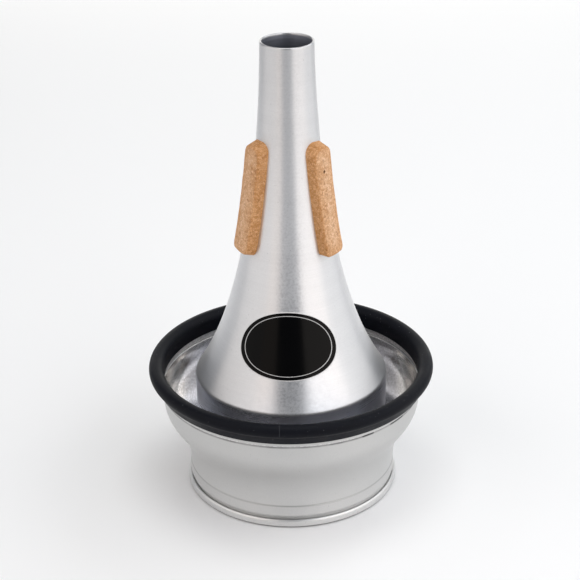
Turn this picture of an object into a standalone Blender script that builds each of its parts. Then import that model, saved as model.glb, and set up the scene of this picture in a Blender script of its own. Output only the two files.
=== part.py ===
"""A cup mute for a trumpet: a spun aluminium cone with three cork strips, held by friction in a spun cup.

Run it with blender --background --python part.py, or from Blender's text editor.
Lengths are in metres. The mute's axis is Z, it stands on the bead of its cup at z = 0, and its label faces -Y.
The cone's pieces hang from one empty on the axis, which slides up out of the cup.
"""

import math

import bmesh
import bpy
from mathutils import Vector
from mathutils.geometry import interpolate_bezier

MM = 0.001

# Sheet, and the gap between pieces that touch
SHEET = 0.8 * MM
FIT = 0.3 * MM

# Cone: its own heights are counted from its lower end, which stands a little above the surface
CONE_LIFT = 0.3 * MM
SKIRT_RADIUS = 39.3 * MM
SKIRT_HEIGHT = 49.7 * MM
FLARE_HEIGHT = 140.0 * MM
TIP_RADIUS = 10.5 * MM
TIP_RUN = 26.4 * MM
TIP_SPREAD = 0.3 * MM
SHOULDER_RUN = 36.2 * MM
SHOULDER_SPREAD = 24.9 * MM
SHOULDER_ROUND = 5.0 * MM
END_ROLL = 1.4 * MM
END_LIP = 1.5 * MM

# End plate, pressed into the skirt and held by the rolled end
PLATE_FLANGE = 4.5 * MM
PLATE_ROUND = 1.0 * MM
PLATE_RIM = 3.0 * MM
PLATE_STEP = 1.5 * MM

# Cork strips, glued round the cone above the middle of the flare: lengths are those of the glued face
CORK_COUNT = 3
CORK_LENGTH = 45.8 * MM
CORK_WIDTH = 11.6 * MM
CORK_THICKNESS = 4.1 * MM
CORK_EDGE = 0.5 * MM
CORK_TOP_ROUND = 4.2 * MM
CORK_FOOT_ROUND = 1.4 * MM
CORK_TOP_SLANT = 2.4 * MM
CORK_FOOT_SLANT = 1.1 * MM
CORK_BELOW_TIP = 37.8 * MM

# Oval label on the front of the flare
LABEL_WIDTH = 42.0 * MM
LABEL_HEIGHT = 27.5 * MM
LABEL_THICKNESS = 0.25 * MM
LABEL_ABOVE_SHOULDER = 24.2 * MM

# Friction lining in the neck of the cup
LINING_THICKNESS = 2.1 * MM
LINING_HEIGHT = 9.0 * MM
LINING_JOINT = 0.4 * MM

# Cup: the neck is as wide as the skirt and its lining need
NECK_SWELL = 0.15 * MM
NECK_HEIGHT = 9.4 * MM
CUP_FLARE = 10.14 * MM
CUP_FLARE_HEIGHT = 28.6 * MM
NECK_RUN = 17.3 * MM
RIM_RUN = 9.8 * MM
RIM_SPREAD = 1.0 * MM
WALL_ABOVE_FLARE = 5.2 * MM
WALL_LEAN = 0.45 * MM
RIM_STEP = 0.8 * MM
RIM_STEP_HEIGHT = 1.2 * MM
RIM_BAND = 5.8 * MM

# Rolled bead that the cup stands on, with a groove above it
BEAD_HEIGHT = 3.75 * MM
BEAD_GAP = 0.65 * MM
BEAD_LAND = 0.35 * MM
BEAD_CURL = 0.5 * MM
GROOVE_DEPTH = 0.5 * MM
GROOVE_HEIGHT = 4.2 * MM
GROOVE_ROUND = 1.2 * MM

# Rubber edging on the rim of the cup
RUBBER_LEG = 0.6 * MM
RUBBER_LIP = 0.7 * MM
RUBBER_OUTER_LEG = 3.7 * MM
RUBBER_INNER_LEG = 2.9 * MM
RUBBER_TOP = 4.7 * MM
BULB_RADIUS = 2.64 * MM
BULB_OUT = 1.8 * MM
BULB_CREASE = 0.3 * MM
INNER_ROUND = 3.1 * MM
BULB_ARC = (75.0, -50.0)

# Facets
ROUND_STEPS = 48
FLARE_STEPS = 18
FINE_STEPS = 200
CUP_STEPS = 9
BEND_STEPS = 3
FOLD_STEPS = 2
BULB_STEPS = 6
STRIP_EDGE_STEPS = 2
STRIP_CORNER_STEPS = 4
STRIP_COLUMNS = 4
STRIP_ROWS = 8
LABEL_RINGS = 4
LABEL_RIM_STEPS = 32
SEAM = 0.01
SHARP_ANGLE = 35.0

# Colours (linear), roughness and metallic value
ALUMINIUM = ("aluminium", (0.60, 0.60, 0.61), 0.32, 1.0)
CUP_ALUMINIUM = ("satin_aluminium", (0.52, 0.52, 0.52), 0.42, 1.0)
CORK = ("cork", (0.52, 0.29, 0.13), 0.85, 0.0)
RUBBER = ("black_rubber", (0.012, 0.013, 0.016), 0.45, 0.0)
LABEL = ("label_black", (0.004, 0.004, 0.005), 0.18, 0.0)

# Sizes that follow from the ones above
SHOULDER = CONE_LIFT + SKIRT_HEIGHT
TIP = SHOULDER + FLARE_HEIGHT
NECK_RADIUS = SKIRT_RADIUS + FIT + LINING_THICKNESS + FIT + SHEET
NECK_BORE = NECK_RADIUS - SHEET
WALL_RADIUS = NECK_RADIUS + CUP_FLARE
WALL_FOOT = NECK_HEIGHT + CUP_FLARE_HEIGHT
STEP_FOOT = WALL_FOOT + WALL_ABOVE_FLARE
RIM_RADIUS = WALL_RADIUS + WALL_LEAN + RIM_STEP
RIM = STEP_FOOT + RIM_STEP_HEIGHT + RIM_BAND
GROOVE_RADIUS = NECK_RADIUS - GROOVE_DEPTH


def arc(centre, radius, start, end, steps):
    """Points of an arc in the (r, z) plane, from the angle start to the angle end in degrees."""
    angles = [math.radians(start + (end - start) * i / steps) for i in range(steps + 1)]
    return [(centre[0] + radius * math.cos(a), centre[1] + radius * math.sin(a)) for a in angles]


def bezier(start, leave, arrive, end, steps):
    """Points of a cubic curve in the (r, z) plane, with its two handles between its ends."""
    knots = [Vector(p) for p in (start, leave, arrive, end)]
    return [tuple(p) for p in interpolate_bezier(*knots, steps + 1)]


def cone_curve(steps):
    """The outer line of the flare, from the tip down to the corner of the shoulder."""
    return bezier(
        (TIP_RADIUS, TIP),
        (TIP_RADIUS + TIP_SPREAD, TIP - TIP_RUN),
        (SKIRT_RADIUS - SHOULDER_SPREAD, SHOULDER + SHOULDER_RUN),
        (SKIRT_RADIUS, SHOULDER),
        steps,
    )


FINE_CONE = cone_curve(FINE_STEPS)


def cone_radius(height):
    """The outer radius of the flare at a height, read between the points of a fine curve."""
    for (r0, z0), (r1, z1) in zip(FINE_CONE, FINE_CONE[1:]):
        if z1 <= height <= z0:
            return r0 + (r1 - r0) * (z0 - height) / (z0 - z1)
    return TIP_RADIUS if height > TIP else SKIRT_RADIUS


def rounded_corner(before, corner, after, radius, steps):
    """Points of a fillet that joins the two straight sides of a corner."""
    corner = Vector(corner)
    back = (Vector(before) - corner).normalized()
    on = (Vector(after) - corner).normalized()
    half = back.angle(on) / 2
    centre = corner + (back + on).normalized() * radius / math.sin(half)
    first = corner + back * radius / math.tan(half) - centre
    last = corner + on * radius / math.tan(half) - centre
    angles = [math.degrees(math.atan2(side.y, side.x)) for side in (first, last)]
    return arc(centre, radius, *angles, steps)


def make_material(spec):
    name, colour, roughness, metallic = spec
    material = bpy.data.materials.get(name)
    if material is None:
        material = bpy.data.materials.new(name)
        material.use_nodes = True
        shader = material.node_tree.nodes["Principled BSDF"]
        shader.inputs["Base Color"].default_value = (*colour, 1.0)
        shader.inputs["Roughness"].default_value = roughness
        shader.inputs["Metallic"].default_value = metallic
        material.diffuse_color = (*colour, 1.0)
    return material


def add_object(name, bm, spec, collection, parent=None):
    """Makes an object from a bmesh whose coordinates are world ones."""
    mesh = bpy.data.meshes.new(name)
    bm.to_mesh(mesh)
    bm.free()
    mesh.materials.append(make_material(spec))
    obj = bpy.data.objects.new(name, mesh)
    collection.objects.link(obj)
    if parent:
        obj.parent = parent
        obj.matrix_parent_inverse = parent.matrix_world.inverted()
    return obj


def face_outwards(bm):
    """Turns all faces of a closed body outwards."""
    bm.normal_update()
    bmesh.ops.recalc_face_normals(bm, faces=bm.faces[:])


def profile_mesh(points, closed):
    """An outline in the XZ plane, as vertices and edges."""
    bm = bmesh.new()
    verts = [bm.verts.new((r, 0.0, z)) for r, z in points]
    for a, b in zip(verts, verts[1:]):
        bm.edges.new((a, b))
    if closed:
        bm.edges.new((verts[-1], verts[0]))
    return bm


def turned(name, points, spec, collection, parent=None, closed=False):
    """A profile turned a full circle round the axis."""
    obj = add_object(name, profile_mesh(points, closed), spec, collection, parent)
    screw = obj.modifiers.new("turn", "SCREW")
    screw.axis = "Z"
    screw.steps = ROUND_STEPS
    screw.render_steps = ROUND_STEPS
    screw.use_merge_vertices = True
    screw.merge_threshold = 0.01 * MM
    screw.use_smooth_shade = True
    return obj


def thicken(obj, thickness, offset):
    shell = obj.modifiers.new("sheet", "SOLIDIFY")
    shell.thickness = thickness
    shell.offset = offset
    shell.use_even_offset = True
    shell.use_quality_normals = True
    return obj


def cone_shell(collection, parent):
    """Spun cone: tip, flare, shoulder, skirt, and the rolled end that holds the end plate."""
    flare = cone_curve(FLARE_STEPS)
    shoulder = rounded_corner(
        flare[-2],
        flare[-1],
        (SKIRT_RADIUS, CONE_LIFT),
        SHOULDER_ROUND,
        BEND_STEPS,
    )
    roll_centre = (SKIRT_RADIUS - END_ROLL, CONE_LIFT + END_ROLL)
    roll = arc(roll_centre, END_ROLL, 0, -90, BEND_STEPS)
    lip = [(SKIRT_RADIUS - END_ROLL - END_LIP, CONE_LIFT)]
    outline = flare[:-1] + shoulder + roll + lip
    obj = turned("cone_shell", outline, ALUMINIUM, collection, parent)
    return thicken(obj, SHEET, -1)


def end_plate(collection, parent):
    """Pressed lid: a flange up the inside of the skirt, a rim on the rolled end and a raised middle."""
    radius = SKIRT_RADIUS - SHEET - FIT
    foot = CONE_LIFT + SHEET + FIT
    corner = arc((radius - PLATE_ROUND, foot + PLATE_ROUND), PLATE_ROUND, 0, -90, FOLD_STEPS)
    step = radius - PLATE_ROUND - PLATE_RIM
    outline = [(radius, foot + PLATE_FLANGE), *corner, (step, foot)]
    outline += [(step - PLATE_STEP, foot + PLATE_STEP), (0.0, foot + PLATE_STEP)]
    obj = turned("end_plate", outline, ALUMINIUM, collection, parent)
    return thicken(obj, SHEET, -1)


def runs_through(edge, thickness):
    """Whether an edge runs from the back of a flat body to its front, along Y."""
    first, second = edge.verts
    return abs(first.co.y - second.co.y) > thickness / 2


def round_off(bm, edges, radius, steps):
    """Rounds some edges of a body with arcs, held to what its faces leave room for."""
    bmesh.ops.bevel(
        bm,
        geom=edges,
        offset=radius,
        segments=steps,
        profile=0.5,
        affect="EDGES",
        clamp_overlap=True,
    )


def cork_strip(name, azimuth, collection, parent):
    """A bar with rounded corners and softened edges, bent to lie on the flare; its outer face is shorter than its
    glued one, because both ends are cut at a slant."""
    bm = bmesh.new()
    bmesh.ops.create_cube(bm, size=1.0)
    for vert in bm.verts:
        vert.co.x *= CORK_WIDTH
        vert.co.y = (vert.co.y + 0.5) * CORK_THICKNESS
        vert.co.z *= CORK_LENGTH
    for end, radius in ((1, CORK_TOP_ROUND), (-1, CORK_FOOT_ROUND)):
        at_end = [edge for edge in bm.edges if edge.verts[0].co.z * end > CORK_LENGTH / 3]
        corners = [edge for edge in at_end if runs_through(edge, CORK_THICKNESS)]
        round_off(bm, corners, radius, STRIP_CORNER_STEPS)
    outer = [edge for edge in bm.edges if min(vert.co.y for vert in edge.verts) > CORK_THICKNESS / 2]
    round_off(bm, outer, CORK_EDGE, STRIP_EDGE_STEPS)
    columns = [CORK_WIDTH * (i / STRIP_COLUMNS - 0.5) for i in range(1, STRIP_COLUMNS)]
    rows = [CORK_LENGTH * (i / STRIP_ROWS - 0.5) for i in range(1, STRIP_ROWS)]
    slices = [((x, 0, 0), (1, 0, 0)) for x in columns] + [((0, 0, z), (0, 0, 1)) for z in rows]
    for point, normal in slices:
        geometry = bm.verts[:] + bm.edges[:] + bm.faces[:]
        bmesh.ops.bisect_plane(bm, geom=geometry, plane_co=point, plane_no=normal, dist=0.001 * MM)
    middle = TIP - CORK_BELOW_TIP - CORK_LENGTH / 2
    out = Vector((math.sin(azimuth), -math.cos(azimuth), 0.0))
    across = Vector((math.cos(azimuth), math.sin(azimuth), 0.0))
    for vert in bm.verts:
        sideways, depth, along = vert.co
        height = middle + along
        reach = cone_radius(height) + FIT + depth
        share = along / CORK_LENGTH + 0.5
        slant = CORK_TOP_SLANT * share - CORK_FOOT_SLANT * (1 - share)
        place = out * math.sqrt(reach**2 - sideways**2) + across * sideways
        vert.co = place + Vector((0.0, 0.0, height - slant * depth / CORK_THICKNESS))
    face_outwards(bm)
    return add_object(name, bm, CORK, collection, parent)


def label(collection, parent):
    """An oval sticker rolled on to the flare without stretching, as flat vinyl lies on a cone."""
    centre = SHOULDER + LABEL_ABOVE_SHOULDER
    radius = cone_radius(centre)
    lean = math.atan2(cone_radius(centre - MM) - cone_radius(centre + MM), 2 * MM)
    reach = radius / math.sin(lean)
    bm = bmesh.new()
    rows = [bm.verts.new((i / LABEL_RINGS, 0.0, 0.0)) for i in range(LABEL_RINGS + 1)]
    rays = [bm.edges.new(pair) for pair in zip(rows, rows[1:])]
    bmesh.ops.spin(
        bm,
        geom=rows + rays,
        cent=(0, 0, 0),
        axis=(0, 0, 1),
        angle=2 * math.pi,
        steps=LABEL_RIM_STEPS,
    )
    bmesh.ops.remove_doubles(bm, verts=bm.verts[:], dist=SEAM / LABEL_RINGS)
    for vert in bm.verts:
        across = vert.co.x * LABEL_WIDTH / 2
        up = vert.co.y * LABEL_HEIGHT / 2
        slant = math.hypot(across, reach - up)
        azimuth = math.atan2(across, reach - up) / math.sin(lean)
        height = centre - (slant - reach) * math.cos(lean)
        out = cone_radius(height) + FIT
        vert.co = (out * math.sin(azimuth), -out * math.cos(azimuth), height)
    bm.normal_update()
    if sum(face.normal.y for face in bm.faces) > 0:
        bmesh.ops.reverse_faces(bm, faces=bm.faces[:])
    obj = add_object("label", bm, LABEL, collection, parent)
    return thicken(obj, LABEL_THICKNESS, 1)


def cup_outline():
    """The outer line of the cup's sheet, from the rim down and round the inside of its rolled bead."""
    band = [(RIM_RADIUS, RIM), (RIM_RADIUS, STEP_FOOT + RIM_STEP_HEIGHT)]
    wall = [(WALL_RADIUS + WALL_LEAN, STEP_FOOT)]
    flare = bezier(
        (WALL_RADIUS, WALL_FOOT),
        (WALL_RADIUS - RIM_SPREAD, WALL_FOOT - RIM_RUN),
        (NECK_RADIUS, NECK_HEIGHT + NECK_RUN),
        (NECK_RADIUS, NECK_HEIGHT),
        CUP_STEPS,
    )
    swell = [(NECK_RADIUS + NECK_SWELL, GROOVE_HEIGHT + GROOVE_ROUND)]
    groove = [(GROOVE_RADIUS, GROOVE_HEIGHT)]
    turn = (BEAD_GAP - BEAD_LAND) / 2
    foot = SHEET + turn
    inner_turn = arc((GROOVE_RADIUS + turn, foot), turn, 180, 270, FOLD_STEPS)
    outer_turn = arc((GROOVE_RADIUS + turn + BEAD_LAND, foot), turn, 270, 360, FOLD_STEPS)
    back = GROOVE_RADIUS + BEAD_GAP
    edge = BEAD_HEIGHT - SHEET * math.sin(math.radians(45))
    lip = [(back, edge - BEAD_CURL), (back - BEAD_GAP / 2, edge)]
    return band + wall + flare + swell + groove + inner_turn + outer_turn + lip


def cup_shell(collection):
    """Spun cup: stepped rim, flared wall, neck and rolled bead."""
    obj = turned("cup_shell", cup_outline(), CUP_ALUMINIUM, collection)
    return thicken(obj, SHEET, -1)


def neck_lining(collection):
    """A cork strip bent into a ring inside the neck, with its ends almost meeting at the back."""
    inner = SKIRT_RADIUS + FIT
    outer = NECK_BORE - FIT
    foot = GROOVE_HEIGHT + GROOVE_ROUND
    top = foot + LINING_HEIGHT
    opening = LINING_JOINT / inner
    bm = bmesh.new()
    corners = [(inner, foot), (outer, foot), (outer, top), (inner, top)]
    start = math.pi / 2 + opening / 2
    turn = (math.cos(start), math.sin(start))
    face = bm.faces.new([bm.verts.new((r * turn[0], r * turn[1], z)) for r, z in corners])
    bmesh.ops.spin(
        bm,
        geom=[face, *face.verts, *face.edges],
        cent=(0, 0, 0),
        axis=(0, 0, 1),
        angle=2 * math.pi - opening,
        steps=ROUND_STEPS,
    )
    face_outwards(bm)
    return add_object("neck_lining", bm, CORK, collection)


def rim_rubber(collection):
    """Rubber channel on the rim: a thin leg each side, and a round bulb that overhangs the outer one."""
    slot_inner = RIM_RADIUS - SHEET - FIT
    slot_outer = RIM_RADIUS + FIT
    slot_top = RIM + FIT
    inner = slot_inner - RUBBER_LEG
    top = RIM + RUBBER_TOP
    bulb = (RIM_RADIUS + BULB_OUT, top - BULB_RADIUS)
    crown = arc((inner + INNER_ROUND, top - INNER_ROUND), INNER_ROUND, 180, 90, BEND_STEPS)
    outside = arc(bulb, BULB_RADIUS, *BULB_ARC, BULB_STEPS)
    crease = (outside[-1][0] - BULB_CREASE, outside[-1][1])
    outer_leg = [crease, (slot_outer + RUBBER_LIP, RIM - RUBBER_OUTER_LEG)]
    slot = [
        (slot_outer, RIM - RUBBER_OUTER_LEG),
        (slot_outer, slot_top),
        (slot_inner, slot_top),
        (slot_inner, RIM - RUBBER_INNER_LEG),
    ]
    inner_leg = [(inner, RIM - RUBBER_INNER_LEG)]
    outline = crown + outside + outer_leg + slot + inner_leg
    return turned("rim_rubber", outline, RUBBER, collection, closed=True)


def main():
    for obj in list(bpy.data.objects):
        bpy.data.objects.remove(obj)
    mute = bpy.data.collections.new("trumpet_mute")
    bpy.context.scene.collection.children.link(mute)

    slide = bpy.data.objects.new("cone_slide", None)
    slide.location = (0.0, 0.0, CONE_LIFT)
    mute.objects.link(slide)
    bpy.context.view_layer.update()

    cone_shell(mute, slide)
    end_plate(mute, slide)
    label(mute, slide)
    names = ("cork_front_right", "cork_back", "cork_front_left")
    for i in range(CORK_COUNT):
        azimuth = math.pi / CORK_COUNT + i * 2 * math.pi / CORK_COUNT
        cork_strip(names[i], azimuth, mute, slide)
    cup_shell(mute)
    neck_lining(mute)
    rim_rubber(mute)
    for obj in mute.objects:
        if obj.type == "MESH":
            obj.data.shade_smooth()
            obj.data.set_sharp_from_angle(angle=math.radians(SHARP_ANGLE))


main()
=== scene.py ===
# %% [markdown]
# # A cup mute for a trumpet
#
# A mute goes into the bell of a trumpet and colours its sound. This one is a hollow cone, spun from thin aluminium
# sheet, which three cork strips hold in the bell. A second spun piece, the cup, grips the foot of the cone and
# carries a rubber edge. Almost every piece is turned on a lathe, so almost every piece here is a profile carried
# round an axis, and the work goes into the profiles and into the metal, the cork and the rubber.
#
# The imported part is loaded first. It says where every piece is, and which pieces move together.

import math

import bmesh
import bpy
import numpy as np
from mathutils import Matrix, Vector


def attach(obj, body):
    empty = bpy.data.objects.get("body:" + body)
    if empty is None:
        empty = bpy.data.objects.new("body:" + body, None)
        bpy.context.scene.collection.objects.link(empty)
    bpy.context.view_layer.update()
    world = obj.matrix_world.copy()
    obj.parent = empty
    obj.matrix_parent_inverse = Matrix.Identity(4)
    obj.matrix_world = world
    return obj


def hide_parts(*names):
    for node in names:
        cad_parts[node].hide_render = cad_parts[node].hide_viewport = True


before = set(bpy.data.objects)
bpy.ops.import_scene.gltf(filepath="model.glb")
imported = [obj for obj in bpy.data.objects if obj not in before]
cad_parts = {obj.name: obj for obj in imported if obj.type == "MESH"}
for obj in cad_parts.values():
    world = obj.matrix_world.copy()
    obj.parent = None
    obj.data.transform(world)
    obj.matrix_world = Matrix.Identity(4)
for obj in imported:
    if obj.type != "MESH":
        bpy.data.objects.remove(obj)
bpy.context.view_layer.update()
print("nodes:", sorted(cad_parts))

# %% [markdown]
# ## Sizes
#
# Everything is measured from the axis (r) and from the surface that the mute stands on (z). The sizes are written in
# millimetres, because that is how a maker would read them, and MM turns them into Blender's metres.

# %% Sizes that several pieces share
MM = 0.001
SHEET = 0.8
CONE_FOOT = 0.3
SKIRT_RADIUS = 39.3
SHOULDER_HEIGHT = 50.0
TIP_HEIGHT = 190.0
TIP_RADIUS = 10.5
NECK_RADIUS = 42.8
RIM_RADIUS = 54.19
RIM_HEIGHT = 50.2
ROUND_STEPS = 256

# %% [markdown]
# ## From a profile to a turned piece
#
# A lathe makes a surface of revolution: a point of the profile at radius r and height z becomes a whole circle. In
# numpy that is one multiplication. The profile is a column of (r, z) pairs, the angles are a row, and broadcasting
# gives the full grid of points at once. Neighbours in the grid make the faces. This is faster than a Screw modifier
# on a fine profile, and it leaves control over every point.

# %% Grid of points to mesh
def grid_faces(rows, columns, wrap_rows, wrap_columns):
    """Corner numbers of the quads of a grid: each quad joins a point to its right, lower right and lower neighbour.
    A wrapped side joins the last line of points to the first one."""
    i = np.arange(rows if wrap_rows else rows - 1)[:, None]
    j = np.arange(columns if wrap_columns else columns - 1)[None, :]
    below, right = (i + 1) % rows, (j + 1) % columns
    corners = [i * columns + j, below * columns + j, below * columns + right, i * columns + right]
    return np.stack(np.broadcast_arrays(*corners), axis=-1).reshape(-1, 4)


def make_piece(name, points, faces, body, material_slot, materials, replaces, marks=None):
    """Puts points (in metres) and faces into a mesh, merges the points of each pole and seam, turns the faces
    outwards, and hangs the piece on its body. The volume that it prints is above zero only if they face out. Marks
    are named numbers, one for each point, which a material can read."""
    mesh = bpy.data.meshes.new(name)
    mesh.from_pydata(points.reshape(-1, 3).tolist(), [], [list(map(int, face)) for face in faces])
    for mark, values in (marks or {}).items():
        layer = mesh.attributes.new(mark, "FLOAT", "POINT")
        layer.data.foreach_set("value", np.ravel(values).astype(np.float32))
    bm = bmesh.new()
    bm.from_mesh(mesh)
    bmesh.ops.remove_doubles(bm, verts=bm.verts[:], dist=1e-7)
    loose = [edge for edge in bm.edges if not edge.link_faces]
    bmesh.ops.delete(bm, geom=loose, context="EDGES")
    bm.normal_update()
    bmesh.ops.recalc_face_normals(bm, faces=bm.faces[:])
    open_edges = sum(not edge.is_manifold for edge in bm.edges)
    volume = bm.calc_volume(signed=True) / MM**3
    bm.to_mesh(mesh)
    bm.free()
    mesh.shade_smooth()
    mesh.set_sharp_from_angle(angle=math.radians(50))
    for material in materials:
        mesh.materials.append(material)
    piece = bpy.data.objects.new(name, mesh)
    bpy.context.scene.collection.objects.link(piece)
    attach(piece, body)
    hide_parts(replaces)
    print(f"{name}: {len(mesh.polygons)} faces, {open_edges} open edges, {volume:.0f} cubic mm")
    return piece


def turn(outline, steps=ROUND_STEPS):
    """A point (r, z) at the angle t goes to (r cos t, r sin t, z); the outline is closed, so the grid wraps both ways."""
    angles = np.linspace(0, 2 * np.pi, steps, endpoint=False)
    r, z = outline[:, :1], outline[:, 1:]
    points = np.stack([r * np.cos(angles), r * np.sin(angles), z + 0 * angles], axis=-1)
    return points * MM, grid_faces(len(outline), steps, True, True)


# %% [markdown]
# ## Drawing profiles
#
# A spun sheet has one wall thickness. So only its outer line is drawn, and the inner one is the parallel curve: every
# point moved along the normal by the thickness. Corners are never sharp on sheet metal, so they are rounded first:
# a corner with the radius R is replaced by the arc that touches both sides at the distance R / tan(half the angle).

# %% Curves for profiles
def curve(start, leave, arrive, end, steps):
    """Cubic Bezier curve: the four points weighted by (1-t)^3, 3(1-t)^2 t, 3(1-t) t^2 and t^3."""
    t = np.linspace(0, 1, steps)[:, None]
    weights = [(1 - t) ** 3, 3 * (1 - t) ** 2 * t, 3 * (1 - t) * t**2, t**3]
    return sum(w * np.array(p, float) for w, p in zip(weights, (start, leave, arrive, end)))


def arc(centre, radius, start, end, steps):
    """Points at the radius round the centre, from one angle in degrees to another."""
    a = np.radians(np.linspace(start, end, steps))[:, None]
    return np.array(centre, float) + radius * np.hstack([np.cos(a), np.sin(a)])


def rounded(corners, radii, steps=7):
    """A line of corners with each one replaced by an arc of its radius; a radius of 0 keeps the corner as it is."""
    corners = np.array(corners, float)
    parts = [corners[:1]]
    for before, corner, after, radius in zip(corners, corners[1:], corners[2:], radii[1:-1]):
        back, on = before - corner, after - corner
        back, on = back / np.hypot(*back), on / np.hypot(*on)
        half = math.acos(np.clip(back @ on, -1, 1)) / 2
        if radius == 0 or half > math.radians(89):
            parts.append(corner[None])
            continue
        centre = corner + (back + on) / np.hypot(*(back + on)) * radius / math.sin(half)
        touch = [corner + side * radius / math.tan(half) - centre for side in (back, on)]
        first, last = (math.degrees(math.atan2(p[1], p[0])) for p in touch)
        last += 360 * round((first - last) / 360)
        parts.append(arc(centre, radius, first, last, steps))
    return np.vstack([*parts, corners[-1:]])


def parallel(line, distance):
    """The line moved sideways by a distance, to the right of its direction: each point goes along its normal."""
    along = np.gradient(line, axis=0)
    along /= np.hypot(along[:, :1], along[:, 1:])
    return line + distance * np.stack([along[:, 1], -along[:, 0]], axis=1)


# %% [markdown]
# ## The materials
#
# The metal is what the eye meets first, so it gets the most care. Spinning and sanding on the lathe leave fine
# grooves that run round the axis. Each groove mirrors light sharply along its length and scatters it across, so a
# round highlight is drawn out into a long upright band. Blender's Anisotropic socket does this, with a tangent that
# runs round the Z axis. The grooves that are wide enough to see come from noise that is stretched round the piece.

# %% Small helpers for shader nodes
def new_material(name, **sockets):
    """A material with one Principled shader, whose constant values are set on its own sockets."""
    material = bpy.data.materials.new(name)
    material.use_nodes = True
    shader = material.node_tree.nodes["Principled BSDF"]
    for socket, value in sockets.items():
        shader.inputs[socket.replace("_", " ")].default_value = value
    return material, material.node_tree, shader


def add_node(tree, kind, inputs=None, **settings):
    """Adds a node, sets its properties, and fills or links its inputs."""
    node = tree.nodes.new(kind)
    for key, value in settings.items():
        setattr(node, key, value)
    for key, value in (inputs or {}).items():
        if isinstance(value, bpy.types.NodeSocket):
            tree.links.new(value, node.inputs[key])
        else:
            node.inputs[key].default_value = value
    return node


def stretched_noise(tree, scale, detail=4.0, roughness=0.55):
    """Noise on Object coordinates, in features per metre along x, y and z."""
    place = add_node(tree, "ShaderNodeTexCoord").outputs["Object"]
    mapped = add_node(tree, "ShaderNodeMapping", {"Vector": place, "Scale": scale})
    inputs = {"Vector": mapped.outputs[0], "Scale": 1.0, "Detail": detail, "Roughness": roughness}
    return add_node(tree, "ShaderNodeTexNoise", inputs).outputs["Fac"]


def spread(tree, value, low, high, from_low=0.3, from_high=0.7):
    """Moves a value from the range that noise mostly fills to the range from low to high."""
    inputs = {
        "Value": value,
        "From Min": from_low,
        "From Max": from_high,
        "To Min": low,
        "To Max": high,
    }
    return add_node(tree, "ShaderNodeMapRange", inputs).outputs["Result"]


def blend_colours(tree, factor, first, second):
    """A mix of two colours."""
    mix = add_node(tree, "ShaderNodeMix", {"Factor": factor}, data_type="RGBA")
    for socket, value in ((mix.inputs["A"], first), (mix.inputs["B"], second)):
        if isinstance(value, bpy.types.NodeSocket):
            tree.links.new(value, socket)
        else:
            socket.default_value = (*value, 1.0)
    return mix.outputs["Result"]


def height_of(tree):
    """The height of a point above the surface that the mute stands on."""
    place = add_node(tree, "ShaderNodeTexCoord").outputs["Object"]
    return add_node(tree, "ShaderNodeSeparateXYZ", {0: place}).outputs["Z"]


def multiply(tree, first, second):
    """The product of two values."""
    return add_node(tree, "ShaderNodeMath", {0: first, 1: second}, operation="MULTIPLY").outputs[0]


def toned(tree, colour, tones):
    """A colour times a tone that changes with height. Each tone is (low, high, tone below, tone above), in mm."""
    factor = None
    for low, high, below, above in tones:
        step = spread(tree, height_of(tree), below, above, low * MM, high * MM)
        factor = step if factor is None else multiply(tree, factor, step)
    if factor is None:
        return colour
    return add_node(tree, "ShaderNodeVectorMath", {0: colour, "Scale": factor}, operation="SCALE").outputs[0]


# %% [markdown]
# Shade is painted where the metal steps in below the rubber: a dark line in the colour stands in for the shade under
# the step. A noise that is stretched along the axis breaks the line up into dashes, and at three places it is thick.
# The places are points in space, so the line stays where it is however the part is seen.

# %% Painted shade line under the rubber
# Where the painted shade line lies, and the places where it is thick
STEP_SHADE_RADIUS = 53.3
THICK_STEP_SHADE = ((36.3, 3.6), (54.0, 5.5), (67.0, 3.0))


def painted_step_shade(tree, colour, low, high):
    """Painted shade in a step of the metal, between two heights in mm: a dark line that stands in for the shade under
    the step. Noise round the axis breaks the line up, and it is at its thickest within some distances, in mm, of a few
    places, given by their angle round the axis."""
    height = height_of(tree)
    band = multiply(
        tree,
        spread(tree, height, 0.0, 1.0, (low - 0.3) * MM, (low + 0.3) * MM),
        spread(tree, height, 1.0, 0.0, (high - 0.1) * MM, (high + 0.1) * MM),
    )
    step_shade = spread(tree, stretched_noise(tree, (110, 110, 5), detail=3.0), 0.3, 0.75)
    place = add_node(tree, "ShaderNodeTexCoord").outputs["Object"]
    for azimuth, reach in THICK_STEP_SHADE:
        a = math.radians(azimuth)
        centre = [STEP_SHADE_RADIUS * MM * math.sin(a), -STEP_SHADE_RADIUS * MM * math.cos(a), (low + high) / 2 * MM]
        away = add_node(tree, "ShaderNodeVectorMath", {0: place, 1: centre}, operation="DISTANCE").outputs["Value"]
        near = spread(tree, away, 1.0, 0.0, 0.7 * reach * MM, reach * MM)
        step_shade = add_node(tree, "ShaderNodeMath", {0: step_shade, 1: near}, operation="MAXIMUM").outputs[0]
    # painted shade: the colour goes towards a dark grey along the line
    return blend_colours(tree, multiply(tree, band, step_shade), colour, (0.06, 0.06, 0.06))


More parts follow.
